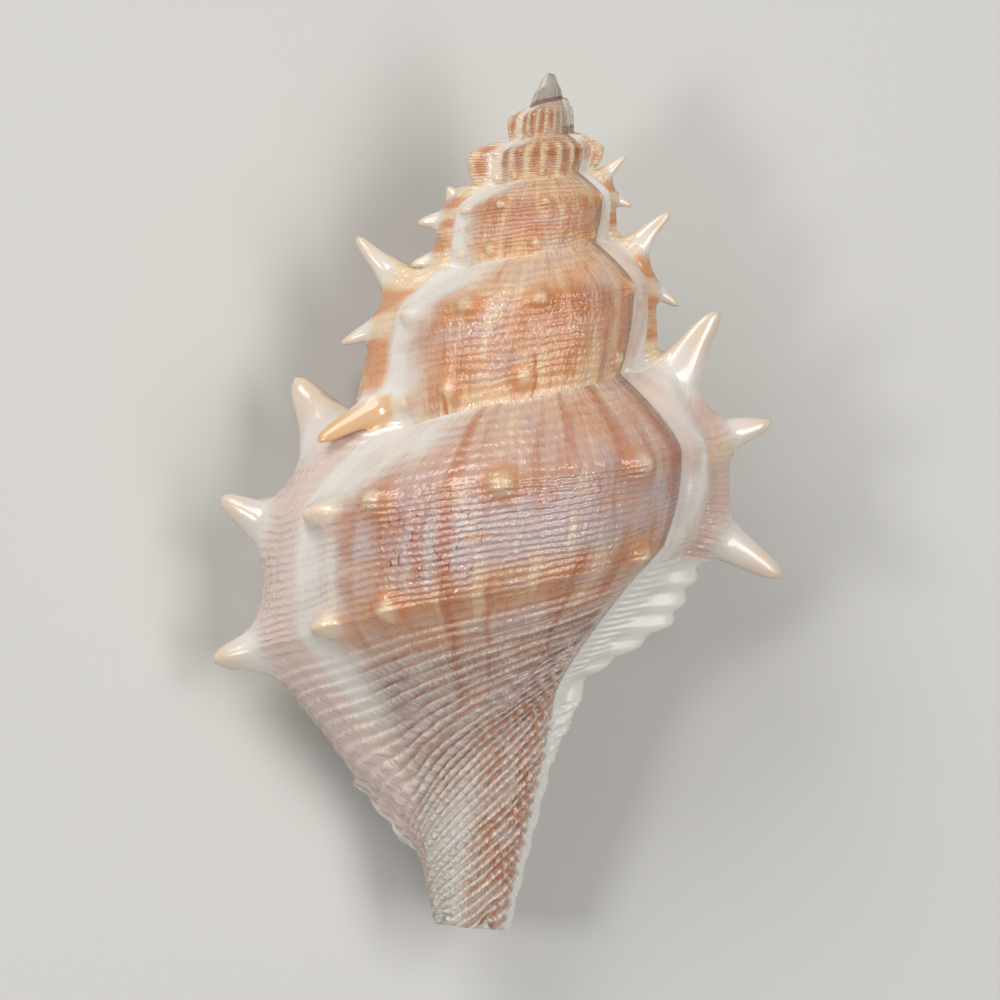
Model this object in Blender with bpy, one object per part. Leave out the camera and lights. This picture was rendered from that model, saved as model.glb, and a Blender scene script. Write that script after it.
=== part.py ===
"""Frog shell, a spiny sea snail's shell that coils to the right.

One grown solid. A strip of shell wall winds round the axis from the blunt tip of the
spire to the outer lip, each turn fused to the turn above it along the suture. A hollow
runs back from the aperture and from the open canal. Every half turn the wall carries a
thick rib, a varix, which was the lip of its time and bears spines.

Millimetres are used while the shell is built, and metres in the finished mesh. The
axis is Y with the tip of the spire uppermost, Z points to the back of the shell and the
aperture faces down. A place on the wall is (turn, row): turn 0 is the middle of the back
of the last whorl, and row runs 0 suture, 1 next suture, 2 neck, 3 end of the canal.
"""

import math

import bmesh
import bpy
import numpy as np
from mathutils import Matrix

for old in list(bpy.data.objects):
    bpy.data.objects.remove(old, do_unlink=True)

MM = 0.001
LENGTH = 70.0

# The spiral: how the suture goes down the axis and how the shoulder widens with each turn
SUTURE_DEPTH, SUTURE_GROWTH, SUTURE_EASE = 26.9, 0.60, 0.022
SHOULDER_RADIUS, SHOULDER_GROWTH, SHOULDER_EASE = 15.7, 0.46, -0.010
SUTURE_TO_SHOULDER = 0.585
# The first turns, up to TIP_TURN, close in faster on the tip
TIP_TURN, TIP_DEPTH_GROWTH, TIP_RADIUS_GROWTH = -3.4, 0.50, -0.02
LIP_TURN = 0.31
SEAM_TURN = LIP_TURN - 1.0
SPIRE_TURNS = 5
# The last whorl's own form starts at the seam and is complete here
BODY_TURN = -0.30

# The wall of one whorl, in rows and in parts of the whorl's height
SHOULDER_ROW, KNOB_ROW = 0.30, 0.87
SPIRE_SHOULDER, SPIRE_KNOBS, SPIRE_FOOT = 0.31, 0.855, 0.975
BODY_SHOULDER, KNOB_DEPTH, KNOB_DEPTH_GROWTH, BODY_FOOT = 0.285, 42.2, 0.62, 0.945
RAMP_BEND, SIDE_BEND, SIDE_BULGE = 1.35, 1.6, 0.02

# The base and the canal, and the columella, the thin rod that they wind round
NECK_DEPTH, NECK_GROWTH, NECK_RADIUS, TIP_RADIUS = 54.8, 0.489, 5.4, 2.9
COLUMELLA_NECK, COLUMELLA_TIP, COLUMELLA_TURN = 0.50, 0.30, -0.25
BASE_BEND, CANAL_BEND = 1.22, -0.35

# Varices, one every half turn, the last of them at the lip: how far the turns before the
# crest rise and those after it fall, and how high the crest stands at each of a few rows,
# in shoulder radii
LAST_VARIX, VARIX_STEP, VARIX_COUNT = 0.25, 0.5, 10
VARIX_RISE_TURNS, VARIX_FALL_TURNS, VARIX_FLAT_TURNS = 0.085, 0.042, 0.010
LAST_VARIX_FALL = 0.09
VARIX_ROWS = (0.0, 0.12, 0.30, 0.55, 0.87, 1.0, 1.2, 1.55, 1.8, 2.0, 2.35, 3.0)
LIP_HEIGHTS = (0.34, 0.21, 0.10, 0.11, 0.16, 0.16, 0.17, 0.17, 0.11, 0.04, 0.0, 0.0)
RIGHT_HEIGHTS = (0.36, 0.19, 0.19, 0.24, 0.24, 0.26, 0.34, 0.42, 0.30, 0.15, 0.02, 0.0)
SPIRE_HEIGHTS = (0.38, 0.24, 0.13, 0.16, 0.24, 0.42, 0.42, 0.42, 0.42, 0.42, 0.42, 0.42)
EARLY_HEIGHTS = (0.42, 0.44, 0.50, 0.46, 0.38, 0.42, 0.42, 0.42, 0.42, 0.42, 0.42, 0.42)
EARLY_VARIX, EARLIEST_VARIX, EARLIEST_PART = 5, 7, 0.55
# The rolled rim in front of each old varix: turns past its crest, half width and height
RIM_PAST, RIM_WIDTH, RIM_HEIGHT, RIM_END_ROWS = 0.047, 0.016, 0.075, (1.7, 2.2)
# The edge of the lip, flared and fluted where the base narrows: how it comes and goes
# with the turns past the crest and with the rows
FLARE_HEIGHT, FLARE_FLUTES, FLARE_FLUTE_HEIGHT = 0.09, 8, 0.022
FLARE_TURNS, FLARE_START, FLARE_END = (0.012, 0.045), (1.45, 1.70), (1.95, 2.15)

# Spines: varix number back from the lip, turns past its crest, row, the tip's reach
# outwards and towards the canal, the root's radius, the last three in shoulder radii, and
# how late the spine turns outwards
SPINES = (
    (0, 0.022, 0.05, 0.13, -0.36, 0.22, 1.3),
    (0, 0.030, 0.02, -0.02, -0.15, 0.26, 1.0),
    (0, 0.0, 0.30, 0.25, -0.12, 0.24, 1.0),
    (0, 0.0, 0.87, 0.25, 0.08, 0.28, 1.0),
    (1, 0.018, 0.05, 0.16, -0.53, 0.26, 2.4),
    (1, 0.0, 0.28, 0.31, -0.11, 0.22, 1.0),
    (1, 0.0, 0.86, 0.42, 0.24, 0.30, 1.2),
    (2, 0.010, 0.05, 0.34, -0.31, 0.24, 1.0),
    (2, 0.0, 0.33, 0.23, 0.13, 0.19, 1.0),
    (2, -0.040, 0.86, 0.36, 0.24, 0.23, 1.0),
    (3, 0.014, 0.05, 0.24, -0.36, 0.24, 1.6),
    (3, 0.0, 0.36, 0.25, 0.14, 0.20, 1.0),
    (4, 0.0, 0.10, 0.10, -0.10, 0.20, 1.0),
    (4, 0.0, 0.36, 0.29, 0.06, 0.26, 1.0),
    (4, 0.0, 0.84, 0.26, 0.08, 0.24, 1.0),
    (5, 0.0, 0.06, 0.27, -0.35, 0.24, 1.4),
    (5, 0.0, 0.36, 0.28, 0.10, 0.24, 1.0),
)
# A spine's profile is a hollow-sided cone with a blunt rod on it: the cone's taper, the
# roundness of its point, the rod's part of the height, and its radii in root radii
SPINE_TAPER, SPINE_TIP, ROD_PART, ROD_TOP, ROD_FOOT = 2.1, 0.08, 0.42, 0.09, 0.34

# Knobs between the varices: turns past the older varix's crest at the shoulder and at the
# lower row, on the last half turn and before it, then height, root radius and taper
LAST_KNOBS = ((0.134, 0.261, 0.365), (0.113, 0.350))
EARLY_KNOBS = ((0.083, 0.238, 0.333, 0.428), (0.095, 0.250, 0.350, 0.428))
KNOB_HEIGHT, LOW_KNOB_HEIGHT, KNOB_ROOT, KNOB_TAPER = 0.085, 0.06, 0.125, 1.15
# Long knobs that end against the last varix: turn, row, height. Knobs and spines are drawn
# out of the wall near them alone, on their own whorl and within this many turns.
LONG_KNOBS = ((0.162, 0.31, 0.08), (0.178, 0.31, 0.10), (0.158, 0.87, 0.05), (0.170, 0.87, 0.08))
PUSH_TURNS, PUSH_REACH = 0.12, 1.2

# Cords that wind down the base and the canal, how many of them the canal's slant crosses
# in a turn, and the wide flutes of the older varix, with the turns past its crest at which
# they come and go
BASE_CORDS, CANAL_SLANT, CORD_HEIGHT, CORD_ROWS = 18, 8.5, 0.20, 0.35
SLANT_ROWS = (1.1, 2.4)
FLUTES, FLUTE_HEIGHT, FLUTE_END_ROW = 11, 0.36, 2.1
FLUTE_START, FLUTE_STOP = (-0.05, -0.01), (0.05, 0.085)
# Nothing is raised on the inner lip: the turns before 0 and the rows over which it starts
INNER_LIP_TURNS, INNER_LIP_ROWS = (0.30, 0.55), (1.0, 1.3)

# The hollow: the wall and the lining, how far back it goes at the aperture and at the
# canal, its first row and the rows between which it shallows, and the teeth inside the lip
WALL, CALLUS, HOLLOW_TURNS, CANAL_TURNS = 1.5, 0.35, 0.44, 0.24
HOLLOW_ROW, SHALLOW_ROWS = 0.12, (1.6, 2.2)
NEAR_LIMIT, FAR_LIMIT = 0.42, 0.58
LIP_TEETH, TOOTH_HEIGHT, TOOTH_REACH = 9, 0.55, 0.25
TOOTH_START, TOOTH_END = (0.1, 0.3), (1.7, 1.9)

# How the shell rests on its lip: turned about its length, then about its width
REST_ROLL, REST_PITCH = -0.2000, 0.1236

SHELL_COLOUR, SHELL_ROUGHNESS = (0.78, 0.52, 0.38, 1.0), 0.35

# How finely the wall is meshed before it is thinned to the number of faces. Columns lie
# closer together near the varices.
COLUMNS_PER_TURN, LIP_COLUMNS, SPIRE_ROWS, BASE_ROWS, HOLLOW_COLUMNS = 124, 6, 26, 76, 22
COLUMN_CROWDING, DOME_RINGS = 0.70, 4
FACES = 9700


def smooth_step(value, low, high):
    part = np.clip((value - low) / (high - low), 0.0, 1.0)
    return part * part * (3.0 - 2.0 * part)


def suture_depth(turn):
    tip = TIP_DEPTH_GROWTH * np.minimum(turn - TIP_TURN, 0.0)
    return SUTURE_DEPTH * np.exp(SUTURE_GROWTH * turn + SUTURE_EASE * turn * turn + tip)


def shoulder_radius(turn):
    tip = TIP_RADIUS_GROWTH * np.minimum(turn - TIP_TURN, 0.0)
    return SHOULDER_RADIUS * np.exp(SHOULDER_GROWTH * turn + SHOULDER_EASE * turn * turn + tip)


def body_share(turn):
    """0 on the spire, and 1 where the wall is that of the last whorl."""
    return smooth_step(turn, SEAM_TURN, BODY_TURN)


def columella_share(turn):
    """0 on the outside of the canal, and 1 on the inner lip."""
    return smooth_step(-turn, -COLUMELLA_TURN, -SEAM_TURN)


def neck(turn):
    radius = NECK_RADIUS * (1.0 - columella_share(turn) * (1.0 - COLUMELLA_NECK))
    return NECK_DEPTH * np.exp(NECK_GROWTH * turn), radius


def whorl_line(turn, row, on_body):
    """(depth, radius) of one whorl's plain wall, on the spire or on the last whorl."""
    top, wide = suture_depth(turn), shoulder_radius(turn)
    next_depth = suture_depth(turn + 1.0)
    neck_depth, neck_radius = neck(turn)
    on_ramp = np.clip(row / SHOULDER_ROW, 0.0, 1.0)
    on_side = np.clip((row - SHOULDER_ROW) / (KNOB_ROW - SHOULDER_ROW), 0.0, 1.0)
    foot = BODY_FOOT if on_body else SPIRE_FOOT
    shoulder = (BODY_SHOULDER if on_body else SPIRE_SHOULDER) * (next_depth - top)
    ramp = SUTURE_TO_SHOULDER + (1.0 - SUTURE_TO_SHOULDER) * (1.0 - (1.0 - on_ramp) ** RAMP_BEND)
    side = 1.0 + (foot - 1.0) * on_side**SIDE_BEND + SIDE_BULGE * np.sin(math.pi * on_side)
    radius = wide * (ramp + side - 1.0)
    if on_body:
        knobs = KNOB_DEPTH * np.exp(KNOB_DEPTH_GROWTH * turn) - top
        on_base = np.clip((row - KNOB_ROW) / (2.0 - KNOB_ROW), 0.0, 1.0)
        depth = top + shoulder * on_ramp + (knobs - shoulder) * on_side
        depth = depth + (neck_depth - top - knobs) * on_base
        radius = radius + (neck_radius - foot * wide) * (1.0 - (1.0 - on_base) ** BASE_BEND)
    else:
        knobs = SPIRE_KNOBS * (next_depth - top)
        low_radius = SUTURE_TO_SHOULDER * shoulder_radius(turn + 1.0)
        on_foot = np.clip((row - KNOB_ROW) / (1.0 - KNOB_ROW), 0.0, 1.0)
        on_base = np.clip(row - 1.0, 0.0, 1.0)
        depth = top + shoulder * on_ramp + (knobs - shoulder) * on_side
        depth = depth + (next_depth - top - knobs) * on_foot + (neck_depth - next_depth) * on_base
        radius = radius + (low_radius - wide * foot) * on_foot
        radius = radius + (neck_radius - low_radius) * (1.0 - (1.0 - on_base) ** SIDE_BEND)
    tip_radius = TIP_RADIUS * (1.0 - columella_share(turn) * (1.0 - COLUMELLA_TIP))
    on_canal = np.clip(row - 2.0, 0.0, 1.0)
    canal_depth = neck_depth + (LENGTH - neck_depth) * on_canal
    canal_radius = neck_radius + (tip_radius - neck_radius) * on_canal
    return np.where(row > 2.0, canal_depth, depth), np.where(row > 2.0, canal_radius, radius)


def plain_line(turn, row):
    """(depth, radius) of the wall with nothing raised on it."""
    body = body_share(turn)
    spire_depth, spire_radius = whorl_line(turn, row, on_body=False)
    body_depth, body_radius = whorl_line(turn, row, on_body=True)
    depth = spire_depth + (body_depth - spire_depth) * body
    return depth, spire_radius + (body_radius - spire_radius) * body


def varix_share(turn, number):
    """How much of a varix stands at a turn: 0 off it and 1 on its crest."""
    past = turn - (LAST_VARIX - number * VARIX_STEP)
    fall = LAST_VARIX_FALL if number == 0 else VARIX_FALL_TURNS
    rising = smooth_step(past, -VARIX_RISE_TURNS, 0.0)
    return rising * (1.0 - smooth_step(past, VARIX_FLAT_TURNS, VARIX_FLAT_TURNS + fall))


def varix_rise(turn, row):
    """How far the varices lift the wall outwards, in millimetres."""
    lift = np.zeros(np.broadcast(turn, row).shape)
    for number in range(VARIX_COUNT):
        heights = (LIP_HEIGHTS, RIGHT_HEIGHTS)[number] if number < 2 else SPIRE_HEIGHTS
        heights = EARLY_HEIGHTS if number > EARLY_VARIX else heights
        high = np.interp(row, VARIX_ROWS, heights)
        high = high * (EARLIEST_PART if number > EARLIEST_VARIX else 1.0)
        size = shoulder_radius(LAST_VARIX - number * VARIX_STEP)
        lift = lift + size * high * varix_share(turn, number)
    return lift


def turns_past_varix(turn):
    past = turn - LAST_VARIX
    return past - VARIX_STEP * np.round(past / VARIX_STEP)


def cord_lift(turn, row):
    """The cords of the base and canal, and the older varix's flutes, in millimetres."""
    along = (row - KNOB_ROW) / (3.0 - KNOB_ROW)
    strength = smooth_step(row, KNOB_ROW, KNOB_ROW + CORD_ROWS) * body_share(turn)
    slant = CANAL_SLANT * turn * smooth_step(row, *SLANT_ROWS)
    cords = CORD_HEIGHT * np.cos(2.0 * math.pi * (BASE_CORDS * along - slant))
    past = turns_past_varix(turn)
    fluted = smooth_step(past, *FLUTE_START) * (1.0 - smooth_step(past, *FLUTE_STOP))
    fluted = fluted * (turn < 0.0) * (row < FLUTE_END_ROW)
    flutes = FLUTE_HEIGHT * np.cos(2.0 * math.pi * FLUTES * along)
    flutes = flutes * smooth_step(varix_share(turn, 1), 0.0, 0.5)
    return strength * (cords + (flutes - cords) * fluted)


def rim_lift(turn, row):
    """The rolled rims in front of the old varices, and the flare of the lip's edge."""
    off_rim = (turns_past_varix(turn) - RIM_PAST) / RIM_WIDTH
    rim = RIM_HEIGHT * np.clip(1.0 - off_rim**2, 0.0, 1.0) ** 2
    rim = rim * (turn < 0.0) * (1.0 - smooth_step(row, *RIM_END_ROWS))
    flare = smooth_step(turn - LAST_VARIX, *FLARE_TURNS) * smooth_step(row, *FLARE_START)
    flare = flare * (1.0 - smooth_step(row, *FLARE_END))
    flutes = FLARE_FLUTE_HEIGHT * np.cos(2.0 * math.pi * FLARE_FLUTES * row)
    return shoulder_radius(turn) * (rim + flare * (FLARE_HEIGHT + flutes))


def wall_line(turn, row):
    """(depth, radius) of the wall with its varices and cords, before knobs and spines."""
    depth, radius = plain_line(turn, row)
    inner_lip = smooth_step(-turn, *INNER_LIP_TURNS) * smooth_step(row, *INNER_LIP_ROWS)
    lift = varix_rise(turn, row) + cord_lift(turn, row) + rim_lift(turn, row)
    return depth, radius + lift * (1.0 - inner_lip)


def place(turn, depth, radius):
    """Millimetre points from turn, depth below the tip, and distance from the axis."""
    angle = 2.0 * math.pi * turn + 0.5 * math.pi
    bend = CANAL_BEND * smooth_step(depth, NECK_DEPTH, LENGTH)
    return np.stack([radius * np.cos(angle) + bend, -depth, radius * np.sin(angle)], axis=-1)


def near_share(points, turn, at, row, root):
    """How near points are to a place on the wall: 1 on it, and 0 from the root's edge on."""
    centre = place(np.array(at), *wall_line(np.array(at), np.array(row)))
    away = np.linalg.norm(points - centre, axis=-1) / root
    turns_off = turn - at
    near = np.abs(turns_off - np.round(turns_off)) < PUSH_TURNS
    near = near & (np.abs(turns_off) < PUSH_REACH)
    return np.where(near, np.clip(1.0 - away, 0.0, 1.0), 0.0)


def spine_profile(near):
    """How much of a spine's height stands at a nearness to its middle."""
    off = np.sqrt((1.0 - near) ** 2 + SPINE_TIP**2) - SPINE_TIP
    off = off / (math.sqrt(1.0 + SPINE_TIP**2) - SPINE_TIP)
    rod = smooth_step(-off, -ROD_FOOT, -ROD_TOP)
    return (1.0 - ROD_PART) * np.clip(1.0 - off, 0.0, 1.0) ** SPINE_TAPER + ROD_PART * rod


def drawn_out(turn, outward, down):
    """Steps away from the axis at one turn, and down along it."""
    angle = 2.0 * math.pi * turn + 0.5 * math.pi
    return np.stack([outward * math.cos(angle), -down, outward * math.sin(angle)], axis=-1)


def raised_points(turn, row):
    """The wall's points with every knob and spine drawn out of them."""
    points = place(turn, *wall_line(turn, row))
    knobs = list(LONG_KNOBS)
    for number in range(VARIX_COUNT):
        older_crest = LAST_VARIX - (number + 1) * VARIX_STEP
        shoulder_knobs, low_knobs = EARLY_KNOBS if number else LAST_KNOBS
        knobs += [(older_crest + past, SHOULDER_ROW, KNOB_HEIGHT) for past in shoulder_knobs]
        knobs += [(older_crest + past, KNOB_ROW, LOW_KNOB_HEIGHT) for past in low_knobs]
    moved = points.copy()
    for at, at_row, high in knobs:
        size = shoulder_radius(at)
        share = near_share(points, turn, at, at_row, KNOB_ROOT * size) ** KNOB_TAPER
        moved += drawn_out(at, size * high * share, down=np.zeros(share.shape))
    for number, past, at_row, outward, down, root, late in SPINES:
        at = LAST_VARIX - number * VARIX_STEP + past
        size = shoulder_radius(at)
        share = spine_profile(near_share(points, turn, at, at_row, root * size))
        moved += drawn_out(at, size * outward * share**late, size * down * share)
    return moved


def turn_columns():
    """Turns of the last whorl's columns, closer together near the varices."""
    even = 2.0 * np.arange(COLUMNS_PER_TURN + 1) / COLUMNS_PER_TURN
    crowded = COLUMN_CROWDING * np.sin(2.0 * math.pi * even) / (2.0 * math.pi)
    turns = LAST_VARIX - 1.0 + VARIX_STEP * (even - crowded)
    early = turns[1:-1]
    early = early[early > SEAM_TURN]
    late = np.linspace(LAST_VARIX, LIP_TURN, LIP_COLUMNS + 1)
    return np.concatenate([[SEAM_TURN], early, late])


def wall_rows():
    """Rows of the last whorl. The first SPIRE_ROWS of them are those of the spire too."""
    spire = np.arange(SPIRE_ROWS) / SPIRE_ROWS
    return np.concatenate([spire, 1.0 + 2.0 * np.arange(BASE_ROWS + 1) / BASE_ROWS])


def quads(grid):
    """Faces between the neighbouring columns and rows of a grid of point numbers."""
    return [
        (grid[i, j], grid[i, j + 1], grid[i + 1, j + 1], grid[i + 1, j])
        for i in range(grid.shape[0] - 1)
        for j in range(grid.shape[1] - 1)
    ]


def outside():
    """Points and faces of the outside, and the point numbers of its columns and rows."""
    columns, rows = turn_columns(), wall_rows()
    per_turn = len(columns) - 1
    spire = np.concatenate([columns[:-1] - back for back in range(SPIRE_TURNS, 0, -1)])
    grids, all_points, total = [], [], 0
    for block, block_rows in ((spire, rows[:SPIRE_ROWS]), (columns, rows)):
        turn, row = np.meshgrid(block, block_rows, indexing="ij")
        all_points.append(raised_points(turn, row).reshape(-1, 3))
        grids.append(total + np.arange(turn.size).reshape(turn.shape))
        total += turn.size
    spire_grid, body_grid = grids
    body_grid[0, SPIRE_ROWS] = body_grid[-1, 0]
    upper = np.concatenate([spire_grid, body_grid[:, :SPIRE_ROWS]])
    faces = quads(upper) + quads(body_grid[:, SPIRE_ROWS - 1 :])
    seam = np.stack([upper[:-per_turn, -1], upper[per_turn:, 0]], axis=1)
    faces += quads(seam[: len(spire_grid) + 1])
    return np.concatenate(all_points), faces, upper, body_grid


def tip_dome(points, upper, per_turn):
    """Rings that close the first turn in a blunt dome at the tip of the spire."""
    edge = np.concatenate([upper[0], upper[per_turn:0:-1, 0]])
    ring = points[edge]
    new_points, faces, last = [], [], edge
    for level in range(1, DOME_RINGS):
        left = 1.0 - level / DOME_RINGS
        lifted = ring * np.array([math.sqrt(left), left, math.sqrt(left)])
        numbers = len(points) + sum(map(len, new_points)) + np.arange(len(edge))
        new_points.append(lifted)
        faces += quads(np.stack([np.append(last, last[0]), np.append(numbers, numbers[0])]))
        last = numbers
    tip = len(points) + sum(map(len, new_points))
    new_points.append(np.zeros((1, 3)))
    faces += [(last[i - 1], last[i], tip) for i in range(len(last))]
    return np.concatenate([points] + new_points), faces


def row_at_depth(turn, depth):
    """The row below the suture at which the wall of an inner turn reaches a depth."""
    low_depth, neck_depth = suture_depth(turn + 1.0), neck(turn)[0]
    to_neck = (depth - low_depth) / (neck_depth - low_depth)
    to_end = (depth - neck_depth) / (LENGTH - neck_depth)
    return np.where(depth < neck_depth, 1.0 + to_neck, 2.0 + to_end)


def hollow(rows):
    """Points of the inside, from the lip's edge back into the shell and out again."""
    steps = HOLLOW_COLUMNS // 2
    share = np.concatenate([np.arange(steps + 1), np.arange(steps - 1, -1, -1)]) / steps
    row = HOLLOW_ROW + (3.0 - HOLLOW_ROW) * rows / 3.0
    reach = HOLLOW_TURNS + (CANAL_TURNS - HOLLOW_TURNS) * smooth_step(row, *SHALLOW_ROWS)
    share_grid, row_grid = np.meshgrid(share, row, indexing="ij")
    turn = LIP_TURN - share_grid * reach[None, :]
    depth, radius = plain_line(turn, row_grid)
    outer = place(turn, depth, radius)
    inner = place(turn, *plain_line(turn - 1.0, row_at_depth(turn - 1.0, depth)))
    across = np.linalg.norm(inner - outer, axis=-1)
    toothed = (row_grid - TOOTH_START[0]) / (TOOTH_END[0] - TOOTH_START[0])
    teeth = np.maximum(0.0, np.cos(2.0 * math.pi * LIP_TEETH * toothed)) ** 2
    teeth = teeth * smooth_step(row_grid, *TOOTH_START) * (1.0 - smooth_step(row_grid, *TOOTH_END))
    teeth = TOOTH_HEIGHT * teeth * (1.0 - smooth_step(share_grid, 0.0, TOOTH_REACH))
    column = np.arange(2 * steps + 1)[:, None]
    near = np.minimum((WALL + teeth) / across, NEAR_LIMIT)
    far = np.maximum(1.0 - CALLUS / across, FAR_LIMIT)
    part = np.where(column < steps, near, far)
    part = np.where(column == steps, 0.5 * (near + far), part)
    part[:, 0] = 0.5
    return outer + part[..., None] * (inner - outer)


def zip_lines(points, first, second):
    """Triangles between two lines of points, stepping along whichever lags behind."""
    reach = []
    for line in (first, second):
        steps = np.linalg.norm(np.diff(points[line], axis=0), axis=1)
        reach.append(np.concatenate([[0.0], np.cumsum(steps) / steps.sum()]))
    faces, i, j = [], 0, 0
    while i < len(first) - 1 or j < len(second) - 1:
        behind = j == len(second) - 1 or reach[0][min(i + 1, len(first) - 1)] <= reach[1][j + 1]
        if i < len(first) - 1 and behind:
            faces.append((first[i], first[i + 1], second[j]))
            i += 1
        else:
            faces.append((first[i], second[j + 1], second[j]))
            j += 1
    return faces


def shell_mesh():
    """One closed mesh of the shell, before it is laid down."""
    points, faces, upper, body = outside()
    points, dome = tip_dome(points, upper, len(body) - 1)
    inside = hollow(wall_rows())
    grid = len(points) + np.arange(inside.shape[0] * inside.shape[1]).reshape(inside.shape[:2])
    points = np.concatenate([points, inside.reshape(-1, 3)])
    steps = HOLLOW_COLUMNS // 2
    grid[steps + 1 :, 0] = grid[steps - 1 :: -1, 0]
    faces += dome + quads(grid) + quads(np.stack([body[-1], grid[0]]))
    faces += zip_lines(points, grid[-1], body[0, SPIRE_ROWS:])
    mesh = bmesh.new()
    vertices = [mesh.verts.new(point * MM) for point in points]
    for face in faces:
        corners = list(dict.fromkeys(int(n) for n in face))
        if len(corners) > 2:
            mesh.faces.new([vertices[n] for n in corners])
    canal_end = list(body[::-1, -1]) + list(grid[::-1, -1])
    mesh.faces.new([vertices[int(n)] for n in canal_end])
    unused = [vertex for vertex in mesh.verts if not vertex.link_faces]
    bmesh.ops.delete(mesh, geom=unused, context="VERTS")
    bmesh.ops.triangulate(mesh, faces=mesh.faces[:], ngon_method="EAR_CLIP")
    bmesh.ops.recalc_face_normals(mesh, faces=mesh.faces[:])
    return mesh


def lay_down(shell):
    """Turns the shell to its resting pose, and sets it on the ground over the origin."""
    turn = Matrix.Rotation(REST_PITCH, 4, "X") @ Matrix.Rotation(REST_ROLL, 4, "Y")
    shell.data.transform(turn)
    points = np.array([vertex.co for vertex in shell.data.vertices])
    low, high = points.min(axis=0), points.max(axis=0)
    middle = 0.5 * (low + high)
    shell.data.transform(Matrix.Translation((-middle[0], -middle[1], -low[2])))


def shell_material():
    material = bpy.data.materials.new("shell")
    material.use_nodes = True
    surface = material.node_tree.nodes["Principled BSDF"]
    surface.inputs["Base Color"].default_value = SHELL_COLOUR
    surface.inputs["Roughness"].default_value = SHELL_ROUGHNESS
    surface.inputs["Metallic"].default_value = 0.0
    return material


def make_shell():
    mesh = shell_mesh()
    count = len(mesh.faces)
    data = bpy.data.meshes.new("shell")
    mesh.to_mesh(data)
    mesh.free()
    shell = bpy.data.objects.new("shell", data)
    bpy.context.scene.collection.objects.link(shell)
    data.materials.append(shell_material())
    lay_down(shell)
    thin = shell.modifiers.new("thin", "DECIMATE")
    thin.ratio = min(1.0, FACES / count)
    data.shade_smooth()


make_shell()
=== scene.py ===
"""A spiny frog shell, a sea snail's shell that coils to the right, lying on its aperture.

The shell is shaped in millimetres with the tip of the spire at the origin, the axis
along Y and its back towards +Z. It is then laid down on its outer lip, in metres. A
place on the wall is (turn, row): turn 0 is the middle of the back of the last whorl, and
row runs 0 suture, 1 next suture, 2 neck, 3 end of the canal.
"""

import math

import bpy
import numpy as np
from mathutils import Matrix, Vector


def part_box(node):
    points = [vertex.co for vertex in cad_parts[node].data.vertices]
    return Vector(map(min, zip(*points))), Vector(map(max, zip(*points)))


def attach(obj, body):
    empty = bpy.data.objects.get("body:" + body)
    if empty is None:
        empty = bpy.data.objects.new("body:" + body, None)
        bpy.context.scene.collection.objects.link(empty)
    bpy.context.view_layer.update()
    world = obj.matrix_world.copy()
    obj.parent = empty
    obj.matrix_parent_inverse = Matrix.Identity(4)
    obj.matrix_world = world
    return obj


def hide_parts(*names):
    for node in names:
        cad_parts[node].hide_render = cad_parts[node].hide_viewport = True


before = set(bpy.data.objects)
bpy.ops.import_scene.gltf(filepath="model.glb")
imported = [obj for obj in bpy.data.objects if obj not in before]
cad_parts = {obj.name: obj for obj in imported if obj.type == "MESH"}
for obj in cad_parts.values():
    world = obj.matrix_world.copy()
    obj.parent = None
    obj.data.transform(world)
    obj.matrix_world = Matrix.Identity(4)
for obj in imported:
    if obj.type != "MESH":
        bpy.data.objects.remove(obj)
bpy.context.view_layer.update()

# The shell wall. It is layered lime, laid down at the outer lip as the snail grew, so that
# each turn is fused to the one above it. It is made of strips of grid that follow the
# spiral, welded along the suture, bridged at the inner lip and closed at both ends.

MM = 0.001
LENGTH = 70.0

# The spiral: how the suture goes down the axis and how the shoulder widens with each turn
SUTURE_DEPTH, SUTURE_GROWTH, SUTURE_EASE = 26.9, 0.60, 0.022
SHOULDER_RADIUS, SHOULDER_GROWTH, SHOULDER_EASE = 15.7, 0.46, -0.010
SUTURE_TO_SHOULDER = 0.585
# The first turns, up to TIP_TURN, close in faster on the tip
TIP_TURN, TIP_DEPTH_GROWTH, TIP_RADIUS_GROWTH = -3.4, 0.50, -0.02
LIP_TURN = 0.31
SEAM_TURN = LIP_TURN - 1.0
SPIRE_TURNS = 5
# The last whorl's own form starts at the seam and is complete here
BODY_TURN = -0.30

# The wall of one whorl, in rows and in parts of the whorl's height
SHOULDER_ROW, KNOB_ROW = 0.30, 0.87
SPIRE_SHOULDER, SPIRE_KNOBS, SPIRE_FOOT = 0.31, 0.855, 0.975
BODY_SHOULDER, KNOB_DEPTH, KNOB_DEPTH_GROWTH, BODY_FOOT = 0.285, 42.2, 0.62, 0.945
RAMP_BEND, SIDE_BEND, SIDE_BULGE = 1.35, 1.6, 0.02
# The shoulder fades out on the first turns, which are a plain cone
CONE_SHARE, CONE_TURNS = 0.8, (-3.7, -4.3)

# The base and the canal, and the columella, the thin rod that they wind round
NECK_DEPTH, NECK_GROWTH, NECK_RADIUS, TIP_RADIUS = 54.8, 0.489, 5.4, 2.9
COLUMELLA_NECK, COLUMELLA_TIP, COLUMELLA_TURN = 0.50, 0.30, -0.25
BASE_BEND, CANAL_BEND = 1.22, -0.35
# Notches in the worn end of the canal: the turn of one, how many there are, their depth
# and how fast they fade up the canal
NOTCH_TURN, NOTCHES, NOTCH_DEPTH, NOTCH_FADE = 0.137, 5, 0.7, 8

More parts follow.
